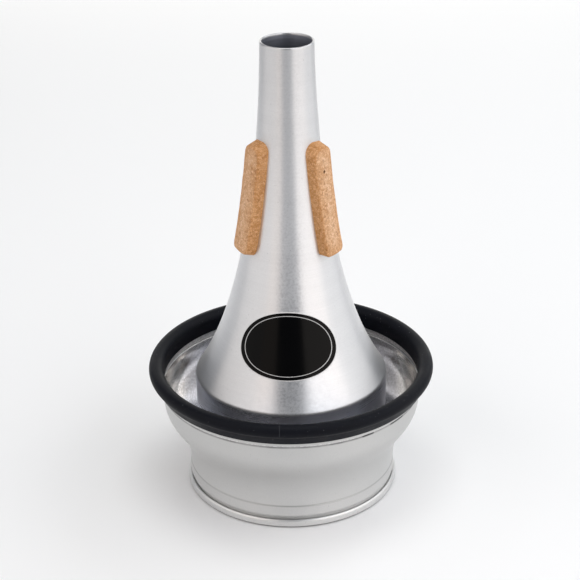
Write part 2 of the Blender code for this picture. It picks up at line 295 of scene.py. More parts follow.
# %% Spun aluminium
def spun_aluminium(
    name, colour, shade, roughness, groove, anisotropy, line_spacing, tones=(), step_shade=None, smooth=None
):
    """Metal with lines round the axis: colour and roughness follow the lines, and so does a very fine bump. A few
    small dark specks and a fine grain lie over it. Tones that change with height paint light and shade into its
    colour, and where a step is given, a dark shade line is painted in it. Where smooth is given, as (low, high, share,
    spots), the metal below that height has only a share of the roughness, and above it small spots make the roughness
    uneven."""
    material, tree, shader = new_material(name, Metallic=1.0, Anisotropic=anisotropy, Anisotropic_Rotation=0.25)
    lines = stretched_noise(tree, (30, 30, 1 / (line_spacing * MM)), detail=5.0)
    bands = stretched_noise(tree, (5, 5, 160), detail=3.0)
    smudges = stretched_noise(tree, (28, 28, 22), detail=4.0)
    marks = add_node(tree, "ShaderNodeMath", {0: lines, 1: bands}, operation="ADD").outputs[0]
    tone = spread(tree, marks, 0.0, 1.0, 0.75, 1.25)
    metal = blend_colours(tree, tone, shade, colour)
    specks = spread(tree, stretched_noise(tree, (1500, 1500, 700), detail=1.0), 0.0, 0.4, 0.74, 0.82)
    metal = blend_colours(tree, specks, metal, [0.35 * c for c in shade])
    grain = spread(tree, stretched_noise(tree, (2600, 2600, 2600), detail=1.0), 0.975, 1.025)
    metal = add_node(tree, "ShaderNodeVectorMath", {0: metal, "Scale": grain}, operation="SCALE").outputs[0]
    metal = toned(tree, metal, tones)
    if step_shade:
        metal = painted_step_shade(tree, metal, *step_shade)
    tree.links.new(metal, shader.inputs["Base Color"])
    gloss = add_node(tree, "ShaderNodeMath", {0: lines, 1: smudges}, operation="ADD").outputs[0]
    low, high = roughness
    gloss = spread(tree, gloss, low, high, 0.75, 1.25)
    if smooth:
        bottom, top, share, uneven = smooth
        spots = stretched_noise(tree, (1000, 1000, 1000), detail=1.0)
        spots = spread(tree, spots, 1 - uneven, 1 + uneven, 0.35, 0.65)
        gloss = multiply(tree, gloss, spread(tree, height_of(tree), share, spots, bottom * MM, top * MM))
    tree.links.new(gloss, shader.inputs["Roughness"])
    pores = multiply(tree, stretched_noise(tree, (1300, 1300, 1300), detail=1.0), 0.8)
    relief = add_node(tree, "ShaderNodeMath", {0: lines, 1: pores}, operation="ADD").outputs[0]
    inputs = {"Height": relief, "Strength": groove, "Distance": 0.02 * MM}
    bump = add_node(tree, "ShaderNodeBump", inputs)
    tree.links.new(bump.outputs[0], shader.inputs["Normal"])
    tangent = add_node(tree, "ShaderNodeTangent", direction_type="RADIAL", axis="Z")
    tree.links.new(tangent.outputs[0], shader.inputs["Tangent"])
    return material


brushed_cone = spun_aluminium(
    "cone_brushed_aluminium",
    colour=(0.755, 0.755, 0.765),
    shade=(0.72, 0.72, 0.73),
    roughness=(0.37, 0.41),
    groove=0.12,
    anisotropy=0.7,
    line_spacing=0.5,
    # Painted shade: the tones make the skirt below the shoulder darker, as in the cup's shade, and the metal darker
    # towards the tip.
    tones=[(48.9, 49.8, 0.78, 1.0), (120.0, 186.0, 1.0, 0.86)],
    smooth=(48.9, 49.8, 0.72, 0.09),
)


def painted_front_speckle(material, middle, half_width, depth):
    """Fine dark spots painted in the metal on the side of the label, a painted speckle of reflection in the dark
    stripe
    down the front: noise, kept within some mm of a line down the front and deeper towards the shoulder."""
    tree = material.node_tree
    colour = tree.nodes["Principled BSDF"].inputs["Base Color"]
    place = add_node(tree, "ShaderNodeTexCoord").outputs["Object"]
    x, y, z = add_node(tree, "ShaderNodeSeparateXYZ", {0: place}).outputs
    aside = add_node(tree, "ShaderNodeMath", {0: x, 1: middle * MM}, operation="SUBTRACT").outputs[0]
    off_middle = add_node(tree, "ShaderNodeMath", {0: aside}, operation="ABSOLUTE").outputs[0]
    share = spread(tree, off_middle, 1.0, 0.0, 0.6 * half_width * MM, 1.2 * half_width * MM)
    share = multiply(tree, share, spread(tree, y, 1.0, 0.0, -9 * MM, -8 * MM))
    share = multiply(tree, share, spread(tree, z, depth, 0.25 * depth, 75 * MM, 135 * MM))
    share = multiply(tree, share, spread(tree, z, 0.0, 1.0, 48.9 * MM, 49.8 * MM))
    spots = spread(tree, stretched_noise(tree, (1100, 1100, 1100), detail=1.5), 0.0, 1.0, 0.42, 0.68)
    darker = add_node(tree, "ShaderNodeMath", {0: 1.0, 1: multiply(tree, share, spots)}, operation="SUBTRACT")
    inputs = {0: colour.links[0].from_socket, "Scale": darker.outputs[0]}
    tree.links.new(add_node(tree, "ShaderNodeVectorMath", inputs, operation="SCALE").outputs[0], colour)


def painted_cool_reflection_below(material, low, high, tint):
    """The metal's colour times a tint below a height in mm: a painted reflection. The skirt stands in the cup, among
    dark rubber and bare metal, and their cool reflection is painted into its colour, so that it looks cooler than the
    flare."""
    tree = material.node_tree
    colour = tree.nodes["Principled BSDF"].inputs["Base Color"]
    metal = colour.links[0].from_socket
    cool = add_node(tree, "ShaderNodeVectorMath", {0: metal, 1: tint}, operation="MULTIPLY").outputs[0]
    above = spread(tree, height_of(tree), 0.0, 1.0, low * MM, high * MM)
    tree.links.new(blend_colours(tree, above, cool, metal), colour)


# painted speckle of reflection in the dark stripe down the front
painted_front_speckle(brushed_cone, middle=1.0, half_width=5.5, depth=0.21)
# painted cool reflection on the skirt
painted_cool_reflection_below(brushed_cone, 48.9, 49.8, (0.99, 1.0, 1.06))
# A dark copy of the cone's metal for its inside: a painted shade of the tube, with painted light near the mouth of the
# tip, where light gets in.
dull_shaded_inside = spun_aluminium(
    "cone_inside_aluminium",
    colour=(0.235, 0.244, 0.278),
    shade=(0.155, 0.161, 0.190),
    roughness=(0.45, 0.55),
    groove=0.3,
    anisotropy=0.3,
    line_spacing=0.8,
    tones=[(183.8, 188.8, 0.95, 2.1)],
)
satin_cup = spun_aluminium(
    "cup_satin_aluminium",
    colour=(0.603, 0.603, 0.598),
    shade=(0.589, 0.589, 0.584),
    roughness=(0.42, 0.48),
    groove=0.1,
    anisotropy=0.5,
    line_spacing=0.8,
    # The tones paint light and shade into the satin: a painted shadow along the bottom edge, painted light on the bead
    # and the lower neck, which stands in for the reflection of the lit floor, and a painted shade in the crease at
    # about 9.5 to 10 mm.
    tones=[
        (0.45, 0.8, 0.30, 1.0),
        (3.2, 3.8, 1.28, 1.16),
        (3.8, 9.0, 1.0, 0.95),
        (9.0, 9.5, 1.0, 0.76),
        (9.7, 10.2, 1.0, 1.316),
        (10.5, 22.0, 1.0, 0.91),
    ],
    # a painted shade line in the step under the rubber
    step_shade=(43.1, 44.4),
)
print("metals:", brushed_cone.name, dull_shaded_inside.name, satin_cup.name)

# %% [markdown]
# The inside of the cup is polished more than the outside, and it mirrors the cone and the rubber. It is a clean sheet
# metal, so a low roughness would be enough, but then the mirror images have hard edges. A strong anisotropy round the
# axis draws them out up and down, as the fine lines of the polishing do.

# %% Polished inside of the cup
bright_cup, inside_tree, inside_shader = new_material(
    "cup_inside_aluminium", Metallic=1.0, Anisotropic=0.85, Anisotropic_Rotation=0.25
)
pores = stretched_noise(inside_tree, (1400, 1400, 1400), detail=1.0)
pore_tone = spread(inside_tree, pores, 0.0, 1.0, 0.38, 0.62)
inside_colour = blend_colours(inside_tree, pore_tone, (0.68, 0.675, 0.67), (0.93, 0.925, 0.92))
# Painted shade: the wall is painted darker towards the rim, under the rubber.
inside_colour = toned(inside_tree, inside_colour, [(34.0, 43.0, 1.0, 0.8)])
inside_tree.links.new(inside_colour, inside_shader.inputs["Base Color"])
inside_gloss = spread(inside_tree, height_of(inside_tree), 0.16, 0.38, 43.2 * MM, 43.7 * MM)
inside_tree.links.new(inside_gloss, inside_shader.inputs["Roughness"])
tool_lines = stretched_noise(inside_tree, (40, 40, 1400), detail=3.0)
inside_bump = add_node(
    inside_tree,
    "ShaderNodeBump",
    {"Height": tool_lines, "Strength": 0.3, "Distance": 0.004 * MM},
)
inside_tree.links.new(inside_bump.outputs[0], inside_shader.inputs["Normal"])
inside_tangent = add_node(inside_tree, "ShaderNodeTangent", direction_type="RADIAL", axis="Z")
inside_tree.links.new(inside_tangent.outputs[0], inside_shader.inputs["Tangent"])
print("inside metal:", bright_cup.name)

# %% [markdown]
# ## The cone
#
# The cone is a tip like a pipe, a flare that opens like a bell, a rounded shoulder and a straight skirt. One Bezier
# curve gives the whole flare: its first handle keeps the tip almost straight, its second one sets the slope at the
# shoulder. The skirt's end is rolled in, and its edge holds the end plate.

# %% Cone
flare_line = curve(
    (TIP_RADIUS, TIP_HEIGHT - 0.2),
    (TIP_RADIUS + 0.3, TIP_HEIGHT - 26.4),
    (SKIRT_RADIUS - 24.9, SHOULDER_HEIGHT + 36.2),
    (SKIRT_RADIUS, SHOULDER_HEIGHT),
    120,
)
shoulder = rounded([flare_line[-2], flare_line[-1], (SKIRT_RADIUS, CONE_FOOT)], [0, 2.0, 0], 14)[1:-1]
flare_top = flare_line[flare_line[:, 1] > shoulder[0, 1]]
skirt = np.column_stack([np.full(30, SKIRT_RADIUS), np.linspace(shoulder[-1, 1], CONE_FOOT + 1.4, 32)[1:-1]])
roll = arc((SKIRT_RADIUS - 1.4, CONE_FOOT + 1.4), 1.4, 0, -90, 8)
lip = np.array([(SKIRT_RADIUS - 2.2, CONE_FOOT), (SKIRT_RADIUS - 2.9, CONE_FOOT)])
cone_outside = np.vstack([flare_top, shoulder, skirt, roll, lip])
cone_inside = parallel(cone_outside, SHEET)[::-1]
tip_edge = np.array([(-0.65, -0.02), (-0.4, 0.0), (-0.12, -0.04)]) + (TIP_RADIUS, TIP_HEIGHT)
cone_outline = np.vstack([cone_outside, cone_inside, tip_edge])
cone_shell = make_piece(
    "cone",
    *turn(cone_outline),
    body="straight_mute",
    material_slot="aluminium",
    materials=[brushed_cone, dull_shaded_inside],
    replaces="cone_shell",
)


def paint_rows(piece, first_row, rows, columns):
    """Gives some whole rows of the grid the second material, and returns how many faces that is."""
    index = np.zeros(len(piece.data.polygons), np.int32)
    index[first_row * columns : (first_row + rows) * columns] = 1
    piece.data.polygons.foreach_set("material_index", index)
    return int(index.sum())


print("dull faces:", paint_rows(cone_shell, len(cone_outside) + 4, len(cone_inside) - 6, ROUND_STEPS))

# %% [markdown]
# ## The end plate
#
# A pressed disc closes the skirt from below. Its flange goes up inside the skirt, and its middle is pressed up by
# 1.5 mm to stiffen it.

# %% End plate
plate_radius = SKIRT_RADIUS - SHEET - 0.3
plate_foot = CONE_FOOT + SHEET + 0.3
plate_corners = [
    (plate_radius, plate_foot + 4.5),
    (plate_radius, plate_foot),
    (plate_radius - 4.0, plate_foot),
    (plate_radius - 5.5, plate_foot + 1.5),
    (0.0, plate_foot + 1.5),
]
plate_below = rounded(plate_corners, [0, 1.0, 1.2, 1.2, 0], 6)
plate_outline = np.vstack([plate_below, parallel(plate_below, SHEET)[::-1]])
plate_outline[:, 0] = np.maximum(plate_outline[:, 0], 0)
end_plate = make_piece(
    "plate",
    *turn(plate_outline, 128),
    body="straight_mute",
    material_slot="aluminium",
    materials=[brushed_cone],
    replaces="end_plate",
)

# %% [markdown]
# ## The cup
#
# The cup is a second spinning. From the top: a rim that the rubber hides, a small step out just under the rubber,
# a bowl that draws in to the neck, a faint crease, a groove, and a bead where the edge is folded back on itself.
# The outside is satin, the inside is left as the tool made it, and shines more.

# %% Cup
bowl = curve((52.94, 38.0), (51.96, 28.2), (NECK_RADIUS, 26.7), (NECK_RADIUS, 10.3), 48)
rim_corners = [
    (RIM_RADIUS, RIM_HEIGHT),
    (RIM_RADIUS, 44.6),
    (53.35, 44.35),
    (53.2, 44.1),
    (53.42, 43.8),
    (53.25, 41.6),
    (52.94, 38.0),
]
rim_line = rounded(rim_corners, [0, 0.3, 0.1, 0.1, 0.3, 0, 0], 6)[:-1]
neck_corners = [
    (NECK_RADIUS, 10.3),
    (NECK_RADIUS, 10.05),
    (NECK_RADIUS - 0.1, 9.8),
    (NECK_RADIUS + 0.02, 9.5),
    (42.98, 5.4),
    (42.45, 4.1),
    (42.3, 2.0),
]
neck_line = rounded(neck_corners, [0, 0.1, 0.2, 0.1, 0.8, 0.4, 0], 6)[1:]
cup_line = np.vstack([rim_line, bowl, neck_line])
wall_corners = [
    (RIM_RADIUS - SHEET, RIM_HEIGHT),
    (RIM_RADIUS - SHEET, 43.7),
    (53.18, 43.6),
    (52.6, 41.6),
    (52.3, 39.8),
]
wall_line = rounded(wall_corners, [0, 0.06, 0.06, 2.0, 0], 6)
bowl_back = parallel(bowl, SHEET)
neck_back = parallel(neck_line, SHEET)
cup_back = np.vstack([wall_line, bowl_back, neck_back])[::-1]
fold_corners = [
    (42.3, 2.0),
    (42.3, 0.8),
    (42.95, 0.8),
    (42.95, 2.7),
    (42.6, 3.2),
    (43.25, 3.68),
    (43.75, 2.9),
    (43.75, 0.0),
    (41.5, 0.0),
    (41.5, 2.0),
]
fold_radii = [0, 0.12, 0.12, 0.3, 0.0, 0.35, 1.0, 1.1, 0.8, 0]
fold_line = rounded(fold_corners, fold_radii, 8)[1:-1]
cup_outline = np.vstack([cup_line, fold_line, cup_back])
cup_shell = make_piece(
    "cup",
    *turn(cup_outline),
    body="cup",
    material_slot="satin_aluminium",
    materials=[satin_cup, bright_cup],
    replaces="cup_shell",
)

inside_start = len(cup_line) + len(fold_line)
print("inner faces:", paint_rows(cup_shell, inside_start, len(cup_back), ROUND_STEPS))

# %% [markdown]
# ## The lining in the neck
#
# The skirt is narrower than the neck. A strip of cork glued round the inside of the neck fills the gap and grips the
# skirt, so that the cup can be pushed up or down. Its two ends nearly meet at the back.

# %% Cork material
GRAIN = 0.85


def cork_material(name, light, dark, fleck, pale, pit):
    """Ground cork pressed with glue: grains of many browns, fine dark joints, a few dark flecks, and one deep pit,
    whose hollow is painted dark as its shade.
    Where the piece is marked, a share of the pale colour lies over it: partly wear, partly a painted sheen."""
    material, tree, shader = new_material(name, Roughness=0.9)
    shader.inputs["Specular IOR Level"].default_value = 0.2
    place = add_node(tree, "ShaderNodeTexCoord").outputs["Object"]
    warp = add_node(tree, "ShaderNodeTexNoise", {"Vector": place, "Scale": 1100.0, "Detail": 3.0})
    shift = add_node(tree, "ShaderNodeVectorMath", {0: warp.outputs["Color"], 1: [GRAIN * MM] * 3}, operation="MULTIPLY")
    moved = add_node(tree, "ShaderNodeVectorMath", {0: place, 1: shift.outputs[0]}, operation="ADD").outputs[0]
    size = {"Vector": moved, "Scale": 1 / (GRAIN * MM)}
    grains = add_node(tree, "ShaderNodeTexVoronoi", size)
    joints = add_node(tree, "ShaderNodeTexVoronoi", size, feature="DISTANCE_TO_EDGE").outputs["Distance"]
    powder = add_node(tree, "ShaderNodeTexNoise", {"Vector": place, "Scale": 3200.0, "Detail": 3.0}).outputs["Fac"]
    clouds = add_node(tree, "ShaderNodeTexNoise", {"Vector": place, "Scale": 260.0, "Detail": 2.0}).outputs["Fac"]
    tone = add_node(tree, "ShaderNodeSeparateColor", {"Color": grains.outputs["Color"]})
    mixed = add_node(tree, "ShaderNodeMath", {0: tone.outputs[0], 1: clouds}, operation="ADD").outputs[0]
    browns = blend_colours(tree, spread(tree, mixed, 0.0, 1.0, 0.55, 1.45), dark, light)
    # the mark's pale share is partly wear and partly a painted sheen, palest along the middle of the outer face
    wear_and_sheen = add_node(tree, "ShaderNodeAttribute", attribute_name="wear_and_sheen").outputs["Fac"]
    browns = blend_colours(tree, multiply(tree, wear_and_sheen, spread(tree, mixed, 0.3, 0.7, 0.55, 1.45)), browns, pale)
    browns = blend_colours(tree, spread(tree, powder, 0.0, 0.30, 0.50, 0.70), browns, fleck)
    browns = blend_colours(tree, spread(tree, powder, 0.35, 0.0, 0.30, 0.46), browns, pale)
    browns = blend_colours(tree, spread(tree, joints, 0.40, 0.0, 0.0, 0.14), browns, fleck)
    browns = blend_colours(tree, spread(tree, tone.outputs[1], 0.0, 0.45, 0.93, 0.95), browns, fleck)
    # the pit is painted dark: painted shade in its hollow
    from_pit = add_node(tree, "ShaderNodeVectorMath", {0: place, 1: [c * MM for c in pit]}, operation="DISTANCE")
    in_pit = spread(tree, from_pit.outputs["Value"], 1.0, 0.0, 0.4 * MM, 0.85 * MM)
    browns = blend_colours(tree, in_pit, browns, [0.4 * c for c in fleck])
    tree.links.new(browns, shader.inputs["Base Color"])
    rough = add_node(tree, "ShaderNodeMath", {0: joints, 1: powder}, operation="ADD").outputs[0]
    height = add_node(tree, "ShaderNodeMath", {0: rough, 1: in_pit}, operation="SUBTRACT").outputs[0]
    bump = add_node(tree, "ShaderNodeBump", {"Height": height, "Strength": 0.5, "Distance": 0.2 * MM})
    tree.links.new(bump.outputs[0], shader.inputs["Normal"])
    return material


PIT = (14.15, -10.05, 140.85)
strip_cork = cork_material(
    "strip_cork",
    light=(0.70, 0.385, 0.185),
    dark=(0.52, 0.245, 0.085),
    fleck=(0.31, 0.125, 0.04),
    pale=(0.90, 0.66, 0.47),
    pit=PIT,
)
lining_cork = cork_material(
    "lining_cork",
    light=(0.50, 0.30, 0.15),
    dark=(0.33, 0.17, 0.08),
    fleck=(0.13, 0.06, 0.03),
    pale=(0.60, 0.40, 0.26),
    pit=PIT,
)
print("corks:", strip_cork.name, lining_cork.name)

# %% Lining
lining_inner, lining_outer = SKIRT_RADIUS + 0.3, NECK_RADIUS - SHEET - 0.3
lining_corners = [
    (lining_outer, 10.0),
    (lining_outer, 5.4),
    (lining_inner, 5.4),
    (lining_inner, 14.4),
    (lining_outer, 14.4),
    (lining_outer, 10.0),
]
lining_outline = rounded(lining_corners, [0, 0.25, 0.25, 0.25, 0.25, 0], 4)[:-1]
half_gap = 0.25 / lining_inner
lining_angles = np.linspace(np.pi / 2 + half_gap, np.pi * 5 / 2 - half_gap, 160)
r, z = lining_outline[:, :1], lining_outline[:, 1:]
lining_points = np.stack([r * np.cos(lining_angles), r * np.sin(lining_angles), z + 0 * lining_angles], axis=-1) * MM
lining_faces = grid_faces(len(lining_outline), len(lining_angles), True, False).tolist()
start_cap = [i * len(lining_angles) for i in range(len(lining_outline))]
end_cap = [i + len(lining_angles) - 1 for i in reversed(start_cap)]
neck_lining = make_piece(
    "lining",
    lining_points,
    [*lining_faces, start_cap, end_cap],
    body="cup",
    material_slot="cork",
    materials=[lining_cork],
    replaces="neck_lining",
)

# %% [markdown]
# ## The rubber edge
#
# A moulded rubber strip is pushed over the rim of the cup, so that metal never touches the bell. Its section is a
# channel with a round bulb on top, and the strip's two ends meet in a joint that is only just visible.

# %% Rubber material
JOINT_X = -2.4
rubber, rubber_tree, rubber_shader = new_material("edge_rubber", Roughness=0.5)
rubber_shader.inputs["Specular IOR Level"].default_value = 0.105
mottle = stretched_noise(rubber_tree, (90, 90, 90), detail=5.0)
dust = stretched_noise(rubber_tree, (1500, 1500, 1500), detail=1.0)
rubber_tone = blend_colours(
    rubber_tree,
    spread(rubber_tree, mottle, 0.0, 1.0),
    (0.0030, 0.0035, 0.0062),
    (0.0048, 0.0056, 0.0095),
)
speck = spread(rubber_tree, dust, 0.0, 0.35, 0.74, 0.80)
rubber_tone = blend_colours(rubber_tree, speck, rubber_tone, (0.30, 0.30, 0.32))
rubber_place = add_node(rubber_tree, "ShaderNodeTexCoord").outputs["Object"]
rubber_axes = add_node(rubber_tree, "ShaderNodeSeparateXYZ", {0: rubber_place})
from_joint = add_node(
    rubber_tree,
    "ShaderNodeMath",
    {0: rubber_axes.outputs["X"], 1: JOINT_X * MM, 2: 0.12 * MM},
    operation="COMPARE",
).outputs[0]
in_front = spread(rubber_tree, rubber_axes.outputs["Y"], 1.0, 0.0, -1.0 * MM, 0.0)
on_crown = spread(rubber_tree, rubber_axes.outputs["Z"], 0.0, 0.3, 51.0 * MM, 51.6 * MM)
joint = multiply(rubber_tree, multiply(rubber_tree, from_joint, in_front), on_crown)
rubber_tone = blend_colours(rubber_tree, joint, rubber_tone, (0.10, 0.10, 0.11))
rubber_tree.links.new(rubber_tone, rubber_shader.inputs["Base Color"])
rubber_tree.links.new(spread(rubber_tree, mottle, 0.44, 0.56), rubber_shader.inputs["Roughness"])
rubber_bump = add_node(rubber_tree, "ShaderNodeBump", {"Height": mottle, "Strength": 0.15, "Distance": 0.05 * MM})
rubber_tree.links.new(rubber_bump.outputs[0], rubber_shader.inputs["Normal"])

# %% Rubber edge
slot_inner, slot_outer = RIM_RADIUS - SHEET - 0.3, RIM_RADIUS + 0.3
slot_top, rubber_top = RIM_HEIGHT + 0.3, RIM_HEIGHT + 4.7
inner_face = slot_inner - 0.6
crown = arc((inner_face + 3.1, rubber_top - 3.1), 3.1, 180, 90, 20)
bulb = arc((RIM_RADIUS + 1.8, rubber_top - 2.64), 2.61, 78, -50, 32)
leg_corners = [
    bulb[-1],
    (bulb[-1, 0] - 0.3, bulb[-1, 1] - 0.03),
    (slot_outer + 0.7, RIM_HEIGHT - 4.1),
    (slot_outer, RIM_HEIGHT - 4.1),
    (slot_outer, slot_top),
    (slot_inner, slot_top),
    (slot_inner, RIM_HEIGHT - 3.5),
    (inner_face, RIM_HEIGHT - 3.5),
    (inner_face, rubber_top - 3.1),
]
legs = rounded(leg_corners, [0, 0.1, 0.3, 0.1, 0.1, 0.1, 0.1, 0.25, 0], 5)[1:-1]
rubber_outline = np.vstack([crown, bulb, legs])
rim_rubber = make_piece(
    "rubber_edge",
    *turn(rubber_outline),
    body="cup",
    material_slot="black_rubber",
    materials=[rubber],
    replaces="rim_rubber",
)

# %% [markdown]
# ## The cork strips
#
# Each strip is a flat bar with rounded corners, bent round the cone. It is drawn as shells of its plan: the rows of
# the grid are the plan's outline, first at the glued face, then up the sides, over the softened edge and across the
# outer face, where the outline shrinks to a line along the middle. Cork is cut and glued by hand, so no two strips
# are quite alike: each has corners, ends and a place of its own, which were measured in the photograph.

# %% Plan of a strip
CORK_EDGE = 0.55


def cone_radius(height):
    """The outer radius of the cone at a height, read from its outer line."""
    line = cone_outside[cone_outside[:, 1] > 2][::-1]
    return np.interp(height, line[:, 1], line[:, 0])


def corner(middle, across, along, start, steps):
    """A quarter of an ellipse round a middle, from a start angle in degrees: (across cos t, along sin t)."""
    t = np.radians(np.linspace(start, start + 90, steps))
    return np.column_stack([middle[0] + across * np.cos(t), middle[1] + along * np.sin(t)])


def plan_outline(inset, width, length, corners):
    """Outline of the bar, drawn in by an inset, as (sideways, along): straight sides and quarters of ellipses, whose
    two radii lose the inset too. Corners are given as (across, along), from the top right one, clockwise."""
    half = width / 2
    (tr_x, tr_y), (fr_x, fr_y), (fl_x, fl_y), (tl_x, tl_y) = corners
    arcs = [
        corner((half - tr_x, tr_y), tr_x - inset, tr_y - inset, -90, 12),
        corner((half - fr_x, length - fr_y), fr_x - inset, fr_y - inset, 0, 9),
        corner((fl_x - half, length - fl_y), fl_x - inset, fl_y - inset, 90, 9),
        corner((tl_x - half, tl_y), tl_x - inset, tl_y - inset, 180, 12),
    ]
    top, foot = np.array([0, inset]), np.array([0, length - inset])
    right = [np.linspace(top, arcs[0][0], 5)[:-1], arcs[0], np.linspace(arcs[0][-1], arcs[1][0], 56)[1:-1]]
    below = [arcs[1], np.linspace(arcs[1][-1], foot, 5)[1:-1], np.linspace(foot, arcs[2][0], 5)[:-1], arcs[2]]
    left = [np.linspace(arcs[2][-1], arcs[3][0], 56)[1:-1], arcs[3], np.linspace(arcs[3][-1], top, 5)[1:-1]]
    return np.vstack(right + below + left)


# %% Strips
def cork_strip(name, azimuth, node, seed, top, size, corners, slants, tilts):
    """Shells of the plan, then the bend: depth goes outwards, the ends slant with depth and tilt sideways, and a few
    long waves make it uneven. The outer face is marked as paler than the cut sides, most along its middle: partly
    wear, partly a painted sheen."""
    width, length, thickness = size
    azimuth = math.radians(azimuth)
    turn_over = np.radians(np.linspace(0, 90, 6))
    insets = np.concatenate([np.zeros(12), CORK_EDGE * (1 - np.cos(turn_over)), np.full(9, CORK_EDGE)])
    edge_depth = thickness - CORK_EDGE * (1 - np.sin(turn_over))
    side_depth = np.linspace(-0.05, edge_depth[0], 9)[1:]
    depths = np.concatenate([np.full(4, -0.05), side_depth, edge_depth, np.full(9, thickness)])
    shares = np.concatenate([[0, 0.4, 0.8, 1], np.ones(14), np.linspace(1, 0, 10)[1:]])
    # paler towards the middle of the outer face: wear, and a painted sheen
    wear_and_sheen = np.concatenate([np.zeros(12), 0.4 * np.linspace(0, 1, 6) ** 3, np.linspace(0.45, 0.95, 9)])
    plans = np.array([plan_outline(inset, width, length, corners) for inset in insets])
    mirrored = np.roll(plans[:, ::-1], 1, axis=1)
    spine = (plans + mirrored) / 2 * [0, 1]
    spine[..., 1] = np.clip(spine[..., 1], width / 2, length - width / 2)
    flat = spine + shares[:, None, None] * (plans - spine)
    sideways, along, depth = flat[..., 0], flat[..., 1], depths[:, None] + 0 * flat[..., 0]
    rng = np.random.default_rng(seed)
    waves = rng.uniform(0.15, 0.9, (10, 3)) * rng.choice([-1, 1], (10, 3))
    phases = rng.uniform(0, 2 * np.pi, 10)
    uneven = 0.03 * np.sin(np.stack([sideways, along, depth], axis=-1) @ waves.T + phases).sum(-1)
    uneven *= np.clip(depth, 0, 1)
    share = along / length
    slant = (slants[0] * (1 - share) - slants[1] * share) * depth / thickness
    tilt = (tilts[0] * (1 - share) ** 4 + tilts[1] * share**4) * sideways / width
    height = top - along - tilt
    reach = cone_radius(height) + depth + 0.4 * uneven
    sideways = sideways * (1 + uneven / width)
    outwards = np.sqrt(reach**2 - sideways**2)
    out, across = np.array([np.sin(azimuth), -np.cos(azimuth)]), np.array([np.cos(azimuth), np.sin(azimuth)])
    level = outwards[..., None] * out + sideways[..., None] * across
    points = np.concatenate([level, (height - slant)[..., None]], axis=-1) * MM
    return make_piece(
        name,
        points,
        grid_faces(*sideways.shape, False, True),
        body="straight_mute",
        material_slot="cork",
        materials=[strip_cork],
        replaces=node,
        marks={"wear_and_sheen": wear_and_sheen[:, None] + 0 * sideways},
    )


cork_strip(
    "cork_right",
    59.1,
    "cork_front_right",
    seed=3,
    top=151.8,
    size=(11.15, 44.5, 4.1),
    corners=[(3.2, 2.3), (2.5, 2.6), (0.8, 0.8), (4.7, 5.2)],
    slants=(1.9, -0.25),
    tilts=(2.15, 0.15),
)
cork_strip(
    "cork_left",
    -61.2,
    "cork_front_left",
    seed=5,
    top=152.15,
    size=(11.5, 45.5, 4.2),
    corners=[(3.7, 4.0), (1.65, 2.8), (2.6, 2.8), (5.45, 4.5)],
    slants=(1.85, 1.25),
    tilts=(-0.6, 0.15),
)
cork_strip(
    "cork_behind",
    180.0,
    "cork_back",
    seed=8,
    top=152.0,
    size=(11.4, 45.2, 4.15),
    corners=[(4.0, 3.8), (2.0, 2.4), (1.8, 2.2), (4.6, 4.4)],
    slants=(1.9, 0.6),
    tilts=(0.5, -0.2),
)

# %% [markdown]
# ## The label
#
# A cone can be unrolled flat, so an oval cut from flat vinyl lies on it without a crease. The way back is used here:
# a point of the flat oval has a distance from the unrolled cone's centre, which says how far down the slope it is,
# and an angle, which grows by 1 / sin(lean) when the sheet is rolled up.

# %% Label material
label_black, label_tree, label_shader = new_material("label_vinyl", Specular_IOR_Level=0.12)
oval = add_node(label_tree, "ShaderNodeAttribute", attribute_name="from_middle").outputs["Fac"]
pale_edge = spread(label_tree, oval, 0.0, 1.0, 0.975, 0.982)
line_in = spread(label_tree, oval, 0.0, 0.8, 0.868, 0.873)
line_out = spread(label_tree, oval, 1.0, 0.0, 0.884, 0.889)
pale_line = add_node(
    label_tree,
    "ShaderNodeMath",
    {0: pale_edge, 1: multiply(label_tree, line_in, line_out)},
    operation="MAXIMUM",
).outputs[0]
haze = stretched_noise(label_tree, (120, 120, 120), detail=4.0)
label_tree.links.new(
    blend_colours(label_tree, pale_line, (0.0002, 0.0002, 0.0003), (0.74, 0.735, 0.73)),
    label_shader.inputs["Base Color"],
)
label_tree.links.new(spread(label_tree, haze, 0.16, 0.22), label_shader.inputs["Roughness"])

# %% Label
LABEL_WIDTH, LABEL_HEIGHT, LABEL_CENTRE = 41.3, 27.3, 74.25
LABEL_FULLNESS = 0.06
LABEL_THICKNESS = 0.16
lean = math.atan2(cone_radius(LABEL_CENTRE - 1) - cone_radius(LABEL_CENTRE + 1), 2)
reach_flat = cone_radius(LABEL_CENTRE) / math.sin(lean)
top_rings = np.concatenate([np.linspace(0, 0.94, 24), np.linspace(0.945, 0.997, 14)])
ring_share = np.concatenate([top_rings, [1.0, 1.0], top_rings[::-1]])
lift = np.concatenate([np.full(38, LABEL_THICKNESS), [LABEL_THICKNESS - 0.04, 0.0], np.full(38, -0.03)])
turns = np.linspace(0, 2 * np.pi, 160, endpoint=False)
flat_y = ring_share[:, None] * np.sin(turns) * LABEL_HEIGHT / 2
fuller_below = 1 - LABEL_FULLNESS * flat_y / (LABEL_HEIGHT / 2)
flat_x = ring_share[:, None] * np.cos(turns) * LABEL_WIDTH / 2 * fuller_below
slope_way = np.hypot(flat_x, reach_flat - flat_y)
label_angle = np.arctan2(flat_x, reach_flat - flat_y) / math.sin(lean)
label_z = LABEL_CENTRE - (slope_way - reach_flat) * math.cos(lean)
label_r = cone_radius(label_z) + lift[:, None]
label_points = np.stack([label_r * np.sin(label_angle), -label_r * np.cos(label_angle), label_z], axis=-1) * MM
label_faces = grid_faces(len(ring_share), len(turns), False, True)
label = make_piece(
    "oval_label",
    label_points,
    label_faces,
    body="straight_mute",
    material_slot="label_black",
    materials=[label_black],
    replaces="label",
    marks={"from_middle": ring_share[:, None] + 0 * turns},
)
